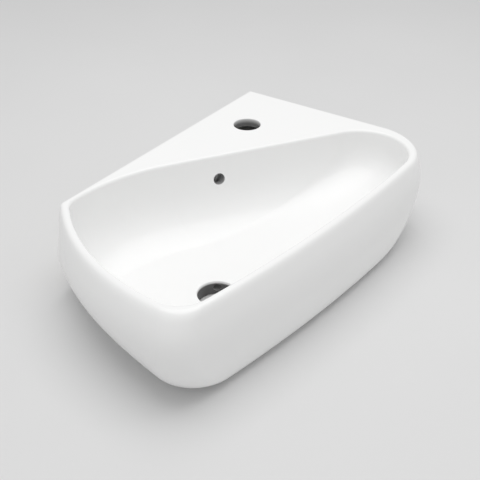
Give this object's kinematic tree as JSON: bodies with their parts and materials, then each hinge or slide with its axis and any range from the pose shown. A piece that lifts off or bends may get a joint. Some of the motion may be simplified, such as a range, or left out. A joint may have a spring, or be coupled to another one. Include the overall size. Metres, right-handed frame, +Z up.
{
  "type": "corner wash basin",
  "caption": "Shallow wall-hung corner wash basin with a flat triangular tap deck, a deep rounded bowl and fixings for two walls.",
  "frame": {"origin": "the basin's back corner at deck level, on the line where the two walls meet", "axes": "+Z up out of the deck; the back wall is the plane y = 0 and the side wall is the plane x = 0; the basin lies towards +X and -Y"},
  "size_m": [0.3532, 0.5388, 0.111],
  "materials": {
    "glazed_china": "glossy white glaze on vitreous china",
    "zinc_steel": "bright zinc plated steel",
    "white_nylon": "white nylon",
    "grey_nylon": "grey nylon"
  },
  "bodies": {
    "root": {"basin": "glazed_china", "back_wall_hanger_bolt": "zinc_steel", "back_wall_sleeve": "white_nylon", "back_wall_washer": "zinc_steel", "back_wall_nut": "zinc_steel", "back_wall_plug": "grey_nylon", "side_wall_hanger_bolt": "zinc_steel", "side_wall_sleeve": "white_nylon", "side_wall_washer": "zinc_steel", "side_wall_nut": "zinc_steel", "side_wall_plug": "grey_nylon"}
  },
  "joints": []
}
